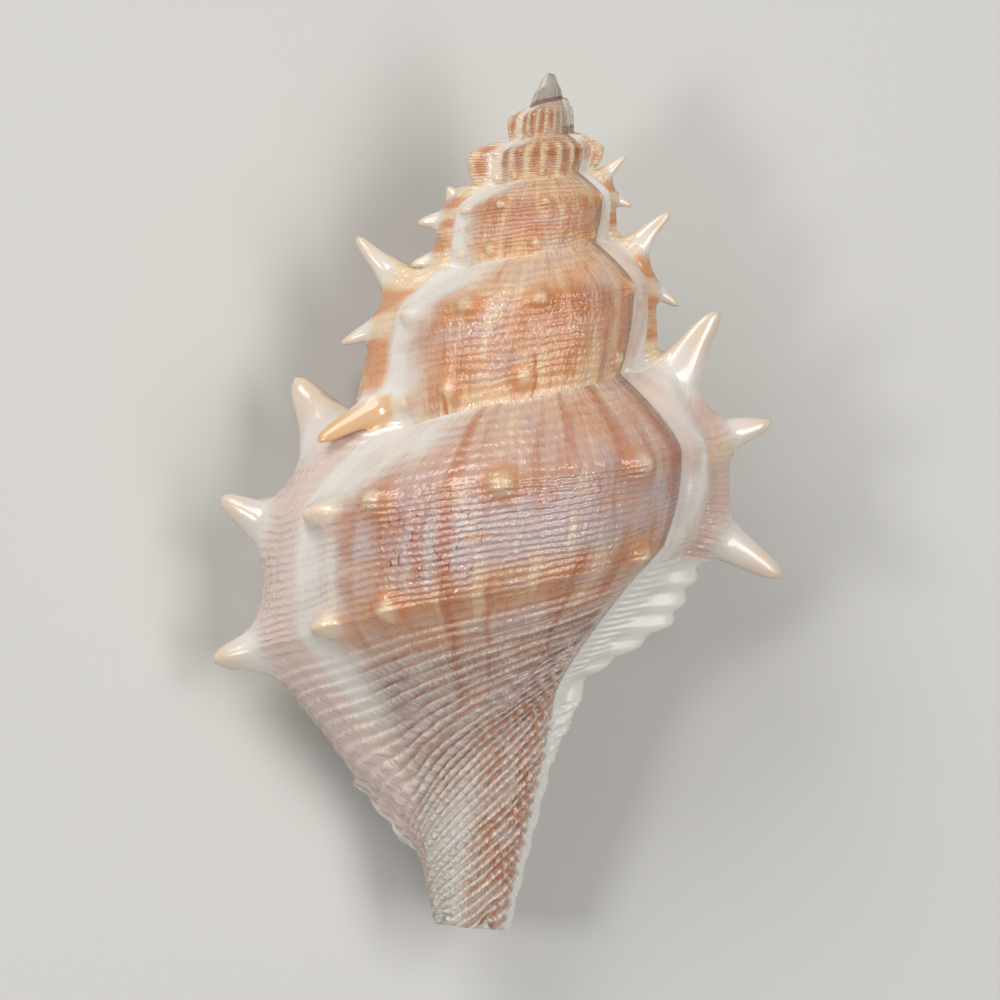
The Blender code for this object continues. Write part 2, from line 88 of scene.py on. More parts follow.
# Varices, one every half turn: how high they stand at each of a few rows, in shoulder radii
LAST_VARIX, VARIX_STEP, VARIX_COUNT = 0.25, 0.5, 10
VARIX_RISE_TURNS, VARIX_FALL_TURNS, VARIX_FLAT_TURNS = 0.085, 0.042, 0.010
LAST_VARIX_FALL = 0.09
VARIX_ROWS = (0.0, 0.12, 0.30, 0.55, 0.87, 1.0, 1.2, 1.55, 1.8, 2.0, 2.35, 3.0)
LIP_HEIGHTS = (0.34, 0.21, 0.10, 0.11, 0.16, 0.16, 0.17, 0.17, 0.11, 0.04, 0.0, 0.0)
RIGHT_HEIGHTS = (0.36, 0.19, 0.19, 0.24, 0.24, 0.26, 0.34, 0.42, 0.30, 0.15, 0.02, 0.0)
SPIRE_HEIGHTS = (0.38, 0.24, 0.13, 0.16, 0.24, 0.42, 0.42, 0.42, 0.42, 0.42, 0.42, 0.42)
EARLY_HEIGHTS = (0.42, 0.44, 0.50, 0.46, 0.38, 0.42, 0.42, 0.42, 0.42, 0.42, 0.42, 0.42)
EARLY_VARIX, EARLIEST_VARIX, EARLIEST_PART = 5, 7, 0.55

# Spines: varix number back from the lip, turns past its crest, row, the tip's reach
# outwards and towards the canal, the root's radius, the last three in shoulder radii, and
# how late the spine turns outwards
SPINES = (
    (0, 0.022, 0.03, 0.12, -0.15, 0.21, 1.0),
    (0, 0.022, 0.00, 0.02, -0.18, 0.46, 1.0),
    (0, 0.0, 0.30, 0.25, -0.12, 0.24, 1.0),
    (0, 0.0, 0.87, 0.22, 0.06, 0.28, 1.0),
    (1, 0.018, 0.05, 0.16, -0.42, 0.32, 1.8),
    (1, 0.0, 0.28, 0.29, -0.11, 0.22, 1.0),
    (1, 0.0, 0.86, 0.42, 0.24, 0.30, 1.2),
    (2, 0.010, 0.05, 0.34, -0.31, 0.24, 1.0),
    (2, 0.0, 0.33, 0.23, 0.13, 0.19, 1.0),
    (2, -0.040, 0.86, 0.44, 0.30, 0.27, 1.0),
    (3, 0.014, 0.05, 0.24, -0.36, 0.24, 1.6),
    (3, 0.0, 0.36, 0.25, 0.14, 0.20, 1.0),
    (4, 0.0, 0.10, 0.10, -0.10, 0.20, 1.0),
    (4, 0.0, 0.36, 0.29, 0.06, 0.26, 1.0),
    (4, 0.0, 0.84, 0.26, 0.08, 0.24, 1.0),
    (5, 0.0, 0.06, 0.27, -0.35, 0.24, 1.4),
    (5, 0.0, 0.36, 0.28, 0.10, 0.24, 1.0),
)
# A spine's profile is a hollow-sided cone with a blunt rod on it: the cone's taper, the
# roundness of its point, the rod's part of the height, and its radii in root radii
SPINE_TAPER, SPINE_TIP, ROD_PART, ROD_TOP, ROD_FOOT = 1.9, 0.10, 0.46, 0.11, 0.38

# Knobs between the varices: turns past the older varix's crest at the shoulder and at the
# lower row, on the last half turn and before it, then height, root radius and taper
LAST_KNOBS = ((0.134, 0.261, 0.365), (0.113, 0.350))
EARLY_KNOBS = ((0.083, 0.238, 0.333, 0.428), (0.095, 0.250, 0.350, 0.428))
KNOB_HEIGHT, LOW_KNOB_HEIGHT, KNOB_ROOT, KNOB_TAPER = 0.085, 0.06, 0.125, 1.15
# Long knobs that end against the last varix: turn, row, height. Knobs and spines are drawn
# out of the wall near them alone, on their own whorl and within this many turns.
LONG_KNOBS = ((0.162, 0.31, 0.08), (0.178, 0.31, 0.10), (0.158, 0.87, 0.05), (0.170, 0.87, 0.08))
PUSH_TURNS, PUSH_REACH = 0.12, 1.2

# Cords: their count down the ramp, the side and the base, how many of them the canal's
# slant crosses in a turn, and the share of them that the spire has
RAMP_CORDS, SIDE_CORDS, BASE_CORDS = 8, 15, 34
CANAL_SLANT, SLANT_ROWS, SPIRE_CORD_PART = 16.0, (1.1, 2.4), 0.65
# They stand out on the base, unlike each other, and less on the last varix and its lip
CORD_HEIGHT, CORD_ROWS, CORD_UNLIKE = 0.24, 0.35, 0.35
CORD_ON_VARIX, CORD_ON_LIP = -0.45, -0.6
# The wide flutes of the right varix, and the turns past its crest at which they come and go
FLUTES, FLUTE_HEIGHT, FLUTE_END_ROW, FLUTE_SHARE = 12, 0.24, 2.1, 0.5
FLUTE_START, FLUTE_STOP = (-0.05, -0.01), (0.125, 0.085)
# The edge of the lip, flared and fluted where the base narrows: how it comes and goes
# with the turns past the crest and with the rows
FLARE_HEIGHT, FLARE_FLUTES, FLARE_FLUTE_HEIGHT = 0.070, 6, 0.013
FLARE_TURNS, FLARE_START, FLARE_STOP = (0.012, 0.045), (1.45, 1.70), (2.15, 1.95)
# Ripples all round: how many in a turn, and their height in mm on the last whorl
RIPPLES, RIPPLE_SLANT = ((37.0, 0.030), (61.0, 0.022), (97.0, 0.016)), 2.0
# Ribs across the early whorls: how many in a turn, their height in shoulder radii, and
# the turns and rows over which they come and go
RIBS, RIB_HEIGHT, RIB_TURNS = 17, 0.045, (-2.3, -2.6)
RIB_START, RIB_STOP = (0.05, 0.28), (1.0, 0.8)
# The rolled rim in front of each old varix: turns past its crest, half width, height, how
# strongly the cords bead it, and the rows over which it ends
RIM_PAST, RIM_WIDTH, RIM_HEIGHT, RIM_BEADS = 0.047, 0.019, 0.085, 0.12
RIM_END_ROWS = (2.2, 1.7)
# Nothing is raised on the inner lip: the turns and the rows over which it starts
INNER_LIP_TURNS, INNER_LIP_ROWS = (-0.30, -0.55), (1.0, 1.3)

# The hollow: the wall and the lining, how far back it goes at the aperture and at the
# canal, its first row, the rows between which it shallows, and the teeth inside the lip
WALL, CALLUS, HOLLOW_TURNS, CANAL_TURNS = 1.5, 0.35, 0.44, 0.24
HOLLOW_ROW, SHALLOW_ROWS, HOLLOW_CROWDING = 0.12, (1.6, 2.2), 1.3
NEAR_LIMIT, FAR_LIMIT = 0.42, 0.58
LIP_TEETH, TOOTH_HEIGHT, TOOTH_REACH = 9, 0.6, 0.25
TEETH_ROW, TEETH_ROWS, TOOTH_START, TOOTH_END = 0.2, 1.7, (0.1, 0.3), (1.7, 1.9)

# How the shell rests on its lip: turned about its length, then about its width
REST_ROLL, REST_PITCH = -0.2000, 0.1236

# How finely the strips are cut: columns lie closer together near the varices, and rows
# near the suture and where knobs and spines stand
COLUMNS_PER_TURN, LIP_COLUMNS, SPIRE_ROWS, BASE_ROWS, HOLLOW_COLUMNS = 212, 14, 34, 180, 42
COLUMN_CROWDING, TIP_RINGS = 0.50, 6
CROWDED_ROWS, ROW_CROWDING, ROW_SPREAD, ROW_SAMPLES = (0.03, 0.30, 0.87), 1.3, 0.07, 401
# Points closer than this, in metres, are welded
WELD = 0.000001
# In mm: an open border above TIP_BORDER's depth is the tip's, and borders are told apart
# by less than BORDER_GAP
TIP_BORDER, BORDER_GAP = 12.0, 0.01
# Edges that turn by more degrees than this stay sharp, as at the worn end of the canal
SHARP_ANGLE = 75.0


def smooth_step(value, low, high):
    part = np.clip((value - low) / (high - low), 0.0, 1.0)
    return part * part * (3.0 - 2.0 * part)


def suture_depth(turn):
    tip = TIP_DEPTH_GROWTH * np.minimum(turn - TIP_TURN, 0.0)
    return SUTURE_DEPTH * np.exp(SUTURE_GROWTH * turn + SUTURE_EASE * turn * turn + tip)


def shoulder_radius(turn):
    tip = TIP_RADIUS_GROWTH * np.minimum(turn - TIP_TURN, 0.0)
    return SHOULDER_RADIUS * np.exp(SHOULDER_GROWTH * turn + SHOULDER_EASE * turn * turn + tip)


def body_share(turn):
    """0 on the spire, and 1 where the wall is that of the last whorl."""
    return smooth_step(turn, SEAM_TURN, BODY_TURN)


def columella_share(turn):
    """0 on the last whorl's back, and 1 where the base has narrowed to the columella."""
    return smooth_step(turn, COLUMELLA_TURN, SEAM_TURN)


def neck(turn):
    """(depth, radius) of the place where the base turns into the canal."""
    radius = NECK_RADIUS * (1.0 - columella_share(turn) * (1.0 - COLUMELLA_NECK))
    return NECK_DEPTH * np.exp(NECK_GROWTH * turn), radius


def whorl_line(turn, row, on_body):
    """(depth, radius) of one whorl's plain wall, on the spire or on the last whorl."""
    top, wide = suture_depth(turn), shoulder_radius(turn)
    next_depth = suture_depth(turn + 1.0)
    neck_depth, neck_radius = neck(turn)
    on_ramp = np.clip(row / SHOULDER_ROW, 0.0, 1.0)
    on_side = np.clip((row - SHOULDER_ROW) / (KNOB_ROW - SHOULDER_ROW), 0.0, 1.0)
    foot = BODY_FOOT if on_body else SPIRE_FOOT
    shoulder = (BODY_SHOULDER if on_body else SPIRE_SHOULDER) * (next_depth - top)
    to_wide = 1.0 - SUTURE_TO_SHOULDER
    ramp = SUTURE_TO_SHOULDER + to_wide * (1.0 - (1.0 - on_ramp) ** RAMP_BEND)
    side = 1.0 + (foot - 1.0) * on_side**SIDE_BEND + SIDE_BULGE * np.sin(math.pi * on_side)
    cone = CONE_SHARE * smooth_step(turn, *CONE_TURNS)
    straight = SUTURE_TO_SHOULDER + to_wide * np.clip(row, 0.0, 1.0)
    ramp = ramp + (straight - ramp) * cone
    side = side + (1.0 - side) * cone
    radius = wide * (ramp + side - 1.0)
    if on_body:
        knobs = KNOB_DEPTH * np.exp(KNOB_DEPTH_GROWTH * turn) - top
        on_base = np.clip((row - KNOB_ROW) / (2.0 - KNOB_ROW), 0.0, 1.0)
        depth = top + shoulder * on_ramp + (knobs - shoulder) * on_side
        depth = depth + (neck_depth - top - knobs) * on_base
        radius = radius + (neck_radius - foot * wide) * (1.0 - (1.0 - on_base) ** BASE_BEND)
    else:
        knobs = SPIRE_KNOBS * (next_depth - top)
        low_radius = SUTURE_TO_SHOULDER * shoulder_radius(turn + 1.0)
        on_foot = np.clip((row - KNOB_ROW) / (1.0 - KNOB_ROW), 0.0, 1.0)
        on_base = np.clip(row - 1.0, 0.0, 1.0)
        depth = top + shoulder * on_ramp + (knobs - shoulder) * on_side
        depth = depth + (next_depth - top - knobs) * on_foot + (neck_depth - next_depth) * on_base
        radius = radius + (low_radius - wide * foot) * on_foot
        radius = radius + (neck_radius - low_radius) * (1.0 - (1.0 - on_base) ** SIDE_BEND)
    tip_radius = TIP_RADIUS * (1.0 - columella_share(turn) * (1.0 - COLUMELLA_TIP))
    on_canal = np.clip(row - 2.0, 0.0, 1.0)
    canal_depth = neck_depth + (LENGTH - neck_depth) * on_canal
    canal_radius = neck_radius + (tip_radius - neck_radius) * on_canal
    return np.where(row > 2.0, canal_depth, depth), np.where(row > 2.0, canal_radius, radius)


def plain_line(turn, row):
    """(depth, radius) of the wall with nothing raised on it."""
    body = body_share(turn)
    spire_depth, spire_radius = whorl_line(turn, row, on_body=False)
    body_depth, body_radius = whorl_line(turn, row, on_body=True)
    depth = spire_depth + (body_depth - spire_depth) * body
    return depth, spire_radius + (body_radius - spire_radius) * body


def varix_share(turn, number):
    """How much of a varix stands at a turn: 0 off it and 1 on its crest."""
    past = turn - (LAST_VARIX - number * VARIX_STEP)
    fall = LAST_VARIX_FALL if number == 0 else VARIX_FALL_TURNS
    rising = smooth_step(past, -VARIX_RISE_TURNS, 0.0)
    return rising * (1.0 - smooth_step(past, VARIX_FLAT_TURNS, VARIX_FLAT_TURNS + fall))


def varix_rise(turn, row):
    """How far the varices lift the wall outwards."""
    lift = np.zeros(np.broadcast(turn, row).shape)
    for number in range(VARIX_COUNT):
        heights = (LIP_HEIGHTS, RIGHT_HEIGHTS)[number] if number < 2 else SPIRE_HEIGHTS
        heights = EARLY_HEIGHTS if number > EARLY_VARIX else heights
        high = np.interp(row, VARIX_ROWS, heights)
        high = high * (EARLIEST_PART if number > EARLIEST_VARIX else 1.0)
        size = shoulder_radius(LAST_VARIX - number * VARIX_STEP)
        lift = lift + size * high * varix_share(turn, number)
    return lift


def cord_count(turn, row):
    """Cords passed on the way down from the suture, whole on the crest of each."""
    ramp_and_side = RAMP_CORDS + SIDE_CORDS
    counts = (0, RAMP_CORDS, ramp_and_side, ramp_and_side + BASE_CORDS)
    count = np.interp(row, (0.0, SHOULDER_ROW, KNOB_ROW, 3.0), counts)
    fewer = (1.0 - SPIRE_CORD_PART) * (1.0 - body_share(turn))
    count = count - fewer * np.minimum(count, ramp_and_side)
    return count - CANAL_SLANT * turn * smooth_step(row, *SLANT_ROWS) * body_share(turn)


def turns_past_varix(turn):
    """Turns past the nearest varix's crest, from minus to plus half a step."""
    past = turn - LAST_VARIX
    return past - VARIX_STEP * np.round(past / VARIX_STEP)


def cord_lift(turn, row):
    """The strong cords of the base and canal, and the wide flutes of the right varix."""
    strength = smooth_step(row, KNOB_ROW, KNOB_ROW + CORD_ROWS) * body_share(turn)
    crest = np.cos(2.0 * math.pi * cord_count(turn, row))
    unlike = 1.0 + CORD_UNLIKE * np.cos(math.pi * cord_count(turn, row))
    cords = CORD_HEIGHT * crest * unlike * (1.0 + CORD_ON_VARIX * varix_share(turn, 0))
    cords = cords * (1.0 + CORD_ON_LIP * smooth_step(turn, LAST_VARIX, LIP_TURN))
    flutes = np.cos(2.0 * math.pi * FLUTES * (row - KNOB_ROW) / (3.0 - KNOB_ROW))
    flutes = FLUTE_HEIGHT * flutes * smooth_step(varix_share(turn, 1), 0.0, FLUTE_SHARE)
    past = turns_past_varix(turn)
    fluted = smooth_step(past, *FLUTE_START) * smooth_step(past, *FLUTE_STOP)
    fluted = fluted * (turn < 0.0) * (row < FLUTE_END_ROW)
    return strength * (cords + (flutes - cords) * fluted)


def edge_lift(turn, row):
    """The rolled rim in front of each old varix, and the flared edge of the lip."""
    crest = np.cos(2.0 * math.pi * cord_count(turn, row))
    rim = 1.0 - ((turns_past_varix(turn) - RIM_PAST) / RIM_WIDTH) ** 2
    rim = np.clip(rim, 0.0, 1.0) ** 2 * (1.0 + RIM_BEADS * crest)
    rim = RIM_HEIGHT * rim * (turn < 0.0) * smooth_step(row, *RIM_END_ROWS)
    flare = smooth_step(turn - LAST_VARIX, *FLARE_TURNS)
    flare = flare * smooth_step(row, *FLARE_START) * smooth_step(row, *FLARE_STOP)
    flutes = FLARE_FLUTE_HEIGHT * np.cos(2.0 * math.pi * FLARE_FLUTES * row)
    return shoulder_radius(turn) * (rim + flare * (FLARE_HEIGHT + flutes))


def growth_lift(turn, row):
    """The ribs of the early whorls, and low ripples all round the shell."""
    ribs = np.maximum(0.0, np.cos(2.0 * math.pi * RIBS * turn)) * smooth_step(turn, *RIB_TURNS)
    lift = RIB_HEIGHT * ribs * smooth_step(row, *RIB_START) * smooth_step(row, *RIB_STOP)
    for waves, height in RIPPLES:
        ripple = np.sin(2.0 * math.pi * waves * turn + RIPPLE_SLANT * row)
        lift = lift + height / SHOULDER_RADIUS * ripple
    return shoulder_radius(turn) * lift


def wall_line(turn, row):
    """(depth, radius) of the wall with its varices and cords, before knobs and spines."""
    depth, radius = plain_line(turn, row)
    inside = smooth_step(turn, *INNER_LIP_TURNS) * smooth_step(row, *INNER_LIP_ROWS)
    lift = varix_rise(turn, row) + cord_lift(turn, row)
    lift = lift + edge_lift(turn, row) + growth_lift(turn, row)
    return depth, radius + lift * (1.0 - inside)


def place(turn, depth, radius):
    """Millimetre points from turn, depth below the tip, and distance from the axis."""
    angle = 2.0 * math.pi * turn + 0.5 * math.pi
    bend = CANAL_BEND * smooth_step(depth, NECK_DEPTH, LENGTH)
    return np.stack([radius * np.cos(angle) + bend, -depth, radius * np.sin(angle)], axis=-1)


def near_share(points, turn, at, row, root):
    """How near points are to a place on the wall: 1 on it, and 0 from the root's radius on."""
    centre = place(np.array(at), *wall_line(np.array(at), np.array(row)))
    away = np.linalg.norm(points - centre, axis=-1) / root
    turns_off = turn - at
    near = np.abs(turns_off - np.round(turns_off)) < PUSH_TURNS
    return np.where(near & (np.abs(turns_off) < PUSH_REACH), np.clip(1.0 - away, 0.0, 1.0), 0.0)


def spine_profile(near):
    """How far a spine is drawn out, 0 to 1, at a nearness to its middle."""
    off = np.sqrt((1.0 - near) ** 2 + SPINE_TIP**2) - SPINE_TIP
    off = off / (math.sqrt(1.0 + SPINE_TIP**2) - SPINE_TIP)
    rod = smooth_step(off, ROD_FOOT, ROD_TOP)
    return (1.0 - ROD_PART) * np.clip(1.0 - off, 0.0, 1.0) ** SPINE_TAPER + ROD_PART * rod


def all_raised():
    """Every knob and spine: turn, row, reach outwards and down, root, and how late."""
    raised = [(at, row, high, 0.0, KNOB_ROOT, 0.0) for at, row, high in LONG_KNOBS]
    for number in range(VARIX_COUNT):
        older_crest = LAST_VARIX - (number + 1) * VARIX_STEP
        shoulder_knobs, low_knobs = EARLY_KNOBS if number else LAST_KNOBS
        for past in shoulder_knobs:
            raised.append((older_crest + past, SHOULDER_ROW, KNOB_HEIGHT, 0.0, KNOB_ROOT, 0.0))
        for past in low_knobs:
            raised.append((older_crest + past, KNOB_ROW, LOW_KNOB_HEIGHT, 0.0, KNOB_ROOT, 0.0))
    for number, past, *spine in SPINES:
        raised.append((LAST_VARIX - number * VARIX_STEP + past, *spine))
    return raised


def raised_points(turn, row):
    """Points of the wall with every knob and spine drawn out, and how far each is either."""
    points = place(turn, *wall_line(turn, row))
    moved, spine, knob = points.copy(), np.zeros(turn.shape), np.zeros(turn.shape)
    for at, at_row, outward, down, root, late in all_raised():
        size = shoulder_radius(at)
        share = near_share(points, turn, at, at_row, root * size)
        if late:
            share = spine_profile(share)
            spine = np.maximum(spine, share)
            out_share = share**late
        else:
            knob = np.maximum(knob, share)
            share = out_share = share**KNOB_TAPER
        angle = 2.0 * math.pi * at + 0.5 * math.pi
        away, along = size * outward * out_share, -size * down * share
        moved += np.stack([away * math.cos(angle), along, away * math.sin(angle)], axis=-1)
    return moved, spine, knob


def turn_columns():
    """Turns of the last whorl's columns, closer together near the varices."""
    even = 2.0 * np.arange(COLUMNS_PER_TURN + 1) / COLUMNS_PER_TURN
    crowding = COLUMN_CROWDING * np.sin(2.0 * math.pi * even) / (2.0 * math.pi)
    from_varix = VARIX_STEP * (even - crowding)
    turns = LAST_VARIX - 1.0 + from_varix
    early = turns[(turns > SEAM_TURN) & (turns < LAST_VARIX - 0.001)]
    late = np.linspace(LAST_VARIX, LIP_TURN, LIP_COLUMNS + 1)
    return np.concatenate([[SEAM_TURN], early, late])


def row_at_depth(turn, depth):
    """The row below the suture at which the wall of an inner turn reaches a depth."""
    low_depth, neck_depth = suture_depth(turn + 1.0), neck(turn)[0]
    to_neck = (depth - low_depth) / (neck_depth - low_depth)
    to_end = (depth - neck_depth) / (LENGTH - neck_depth)
    return np.where(depth < neck_depth, 1.0 + to_neck, 2.0 + to_end)


def hollow_points(rows):
    """The inside, from the lip's edge back into the shell, and out again on the inner turn."""
    steps = HOLLOW_COLUMNS // 2
    share = np.concatenate([np.arange(steps + 1), np.arange(steps - 1, -1, -1)]) / steps
    row = HOLLOW_ROW + (3.0 - HOLLOW_ROW) * rows / 3.0
    reach = HOLLOW_TURNS + (CANAL_TURNS - HOLLOW_TURNS) * smooth_step(row, *SHALLOW_ROWS)
    share_grid, row_grid = np.meshgrid(share**HOLLOW_CROWDING, row, indexing="ij")
    turn = LIP_TURN - share_grid * reach[None, :]
    depth, radius = plain_line(turn, row_grid)
    outer = place(turn, depth, radius)
    inner = place(turn, *plain_line(turn - 1.0, row_at_depth(turn - 1.0, depth)))
    across = np.linalg.norm(inner - outer, axis=-1)
    teeth = np.cos(2.0 * math.pi * LIP_TEETH * (row_grid - TEETH_ROW) / TEETH_ROWS)
    teeth = TOOTH_HEIGHT * np.maximum(0.0, teeth) ** 2 * smooth_step(row_grid, *TOOTH_START)
    teeth = teeth * (1.0 - smooth_step(row_grid, *TOOTH_END))
    teeth = teeth * (1.0 - smooth_step(share_grid, 0.0, TOOTH_REACH))
    side = np.arange(2 * steps + 1)[:, None]
    near = np.minimum((WALL + teeth) / across, NEAR_LIMIT)
    far = np.maximum(1.0 - CALLUS / across, FAR_LIMIT)
    part = np.where(side < steps, near, far)
    part = np.where(side == steps, 0.5 * (near + far), part)
    part[:, 0] = 0.5
    points = outer + part[..., None] * (inner - outer)
    # The two sides meet in one edge at the far end, not in two that lie on each other
    points[steps, 0] = points[steps - 1, 0]
    return points, turn, row_grid


def add_strip(name, points, turn, row, spine, knob, inside):
    """A grid primitive with its points on the wall, and its places kept on its corners."""
    columns, lines = turn.shape
    cuts = {"x_subdivisions": lines - 1, "y_subdivisions": columns - 1}
    bpy.ops.mesh.primitive_grid_add(calc_uvs=False, **cuts)
    strip = bpy.context.object
    strip.name = name
    strip.data.vertices.foreach_set("co", (points * MM).ravel())
    corners = np.empty(len(strip.data.loops), dtype=int)
    strip.data.loops.foreach_get("vertex_index", corners)
    kept = {
        "growth": (turn, row, cord_count(turn, row)),
        "marks": (spine, knob, np.full(turn.shape, inside)),
    }
    for attribute, values in kept.items():
        on_corners = np.stack(values, axis=-1).reshape(-1, 3)[corners]
        layer = strip.data.attributes.new(attribute, "FLOAT_VECTOR", "CORNER")
        layer.data.foreach_set("vector", on_corners.ravel())
    return strip


bpy.ops.object.select_all(action="DESELECT")
columns = turn_columns()
# The spire's rows: evenly cut where each part of the wall counts by how crowded it is
even_rows = np.linspace(0.0, 1.0, ROW_SAMPLES)
closeness = np.ones(ROW_SAMPLES)
for at in CROWDED_ROWS:
    closeness += ROW_CROWDING * np.exp(-(((even_rows - at) / ROW_SPREAD) ** 2))
rows_passed = np.concatenate([[0.0], np.cumsum(0.5 * (closeness[1:] + closeness[:-1]))])
spire_rows = np.interp(np.linspace(0.0, rows_passed[-1], SPIRE_ROWS + 1), rows_passed, even_rows)
body_rows = np.concatenate([spire_rows, 1.0 + 2.0 * np.arange(1, BASE_ROWS + 1) / BASE_ROWS])
strips = []

# One strip for each turn of the spire. Its last row is the first row of the turn below.
for back in range(SPIRE_TURNS, 0, -1):
    turn, row = np.meshgrid(columns - back, spire_rows, indexing="ij")
    points, spine, knob = raised_points(turn, row)
    points[:, -1] = raised_points(turn[:, -1] + 1.0, row[:, 0])[0]
    strips.append(add_strip(f"whorl_{back}", points, turn, row, spine, knob, 0.0))

# The last whorl runs on down the base to the end of the canal
turn, row = np.meshgrid(columns, body_rows, indexing="ij")
points, spine, knob = raised_points(turn, row)
points[0, SPIRE_ROWS] = points[-1, 0]
body_points = points
strips.append(add_strip("last_whorl", points, turn, row, spine, knob, 0.0))

# The hollow starts on the lip's edge and ends inside, a little way out from the columella
points, turn, row = hollow_points(body_rows)
points = np.concatenate([body_points[-1:], points])
turn, row = np.concatenate([turn[:1], turn]), np.concatenate([row[:1], row])
nothing = np.zeros(turn.shape)
strips.append(add_strip("hollow", points, turn, row, nothing, nothing, 1.0))

# The strips are joined and welded
for strip in strips:
    strip.select_set(True)
bpy.context.view_layer.objects.active = strips[0]
bpy.ops.object.join()
shell = bpy.context.object
shell.name = shell.data.name = "frog_shell"
bpy.ops.object.mode_set(mode="EDIT")
bpy.ops.mesh.select_all(action="SELECT")
bpy.ops.mesh.remove_doubles(threshold=WELD)
bpy.ops.object.mode_set(mode="OBJECT")


def select_open_edges(shell, wanted):
    """Selects the edges with one face only whose two ends both pass a test, in mm."""
    mesh = shell.data
    faces_at = np.zeros(len(mesh.edges), dtype=int)
    for loop in mesh.loops:
        faces_at[loop.edge_index] += 1
    places = np.empty(len(mesh.vertices) * 3)
    mesh.vertices.foreach_get("co", places)
    passes = wanted(places.reshape(-1, 3) / MM)
    for item in (*mesh.vertices, *mesh.edges, *mesh.polygons):
        item.select = False
    for edge in mesh.edges:
        if faces_at[edge.index] == 1 and all(passes[n] for n in edge.vertices):
            edge.select = True
            for n in edge.vertices:
                mesh.vertices[n].select = True
    bpy.ops.object.mode_set(mode="EDIT")
    bpy.ops.mesh.select_mode(type="EDGE")


# The inner lip: the hollow's last column is bridged to the last whorl's first one, between
# the top of the lip's edge, where the two meet, and the end of the canal
lip_top, canal_end = body_points[-1, 0, 1] - BORDER_GAP, BORDER_GAP - LENGTH
select_open_edges(shell, lambda places: (places[:, 1] < lip_top) & (places[:, 1] > canal_end))
bpy.ops.mesh.bridge_edge_loops()
bpy.ops.object.mode_set(mode="OBJECT")

# The end of the canal is filled, and the tip of the spire is drawn up into a blunt dome
select_open_edges(shell, lambda places: places[:, 1] < -TIP_BORDER)
bpy.ops.mesh.edge_face_add()
bpy.ops.object.mode_set(mode="OBJECT")
select_open_edges(shell, lambda places: places[:, 1] > -TIP_BORDER)
for ring in range(1, TIP_RINGS):
    left, was = 1.0 - ring / TIP_RINGS, 1.0 - (ring - 1) / TIP_RINGS
    narrower = math.sqrt(left / was)
    bpy.ops.mesh.extrude_edges_move()
    smaller = (narrower, left / was, narrower)
    bpy.ops.transform.resize(value=smaller, center_override=(0.0, 0.0, 0.0))
bpy.ops.mesh.edge_face_add()
bpy.ops.mesh.select_all(action="SELECT")
bpy.ops.mesh.quads_convert_to_tris(quad_method="SHORTEST_DIAGONAL", ngon_method="CLIP")
bpy.ops.mesh.normals_make_consistent(inside=False)
bpy.ops.object.mode_set(mode="OBJECT")
bpy.ops.object.shade_smooth_by_angle(angle=math.radians(SHARP_ANGLE))

# The worn end of the canal is notched all round
places = np.empty(len(shell.data.vertices) * 3)
shell.data.vertices.foreach_get("co", places)
places = places.reshape(-1, 3)
around = np.arctan2(places[:, 2], places[:, 0] - CANAL_BEND * MM) / (2.0 * math.pi) - 0.25
notch = np.maximum(0.0, np.cos(2.0 * math.pi * NOTCHES * (around - NOTCH_TURN))) ** 2
down_canal = np.clip((-places[:, 1] / MM - NECK_DEPTH) / (LENGTH - NECK_DEPTH), 0.0, 1.0)
places[:, 1] += NOTCH_DEPTH * MM * notch * down_canal**NOTCH_FADE
shell.data.vertices.foreach_set("co", places.ravel())

# It is laid down on its lip, over the middle of its box and on the ground
lay = Matrix.Rotation(REST_PITCH, 4, "X") @ Matrix.Rotation(REST_ROLL, 4, "Y")
shell.data.transform(lay)
low_corner, high_corner = (Vector(corner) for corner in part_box("shell"))
corners = np.empty(len(shell.data.vertices) * 3)
shell.data.vertices.foreach_get("co", corners)
corners = corners.reshape(-1, 3)
shift = 0.5 * (low_corner + high_corner) - 0.5 * Vector(corners.min(axis=0) + corners.max(axis=0))
shift.z = low_corner.z - corners[:, 2].min()
lay = Matrix.Translation(shift) @ lay
shell.data.transform(Matrix.Translation(shift))

# The shell's finish. Glossy lime: cream and white on the varices, spines and inner lip,
# orange-brown at the shoulder and at the lower row of knobs, and mauve between them. It
# goes by the place on the wall, which is kept on the mesh's corners.


def colour(red, green, blue):
    """A colour named as a screen shows it, 0 to 255, for a shader."""
    linear = []
    for part in (red / 255.0, green / 255.0, blue / 255.0):
        linear.append(part / 12.92 if part <= 0.04045 else ((part + 0.055) / 1.055) ** 2.4)
    return (*linear, 1.0)


WHITE = colour(226, 222, 214)
PORCELAIN = colour(236, 232, 224)
CREAM = colour(232, 206, 170)
TAN = colour(220, 192, 160)
ORANGE = colour(208, 138, 84)
ORANGE_BROWN = colour(180, 104, 58)
MAUVE = colour(190, 170, 168)
MAUVE_BROWN = colour(150, 102, 88)
PINK = colour(220, 198, 186)
PINK_TAN = colour(212, 184, 168)
CRACK_BROWN = colour(92, 54, 44)
ORANGE_TAN = colour(222, 172, 118)
GREY = colour(212, 200, 186)

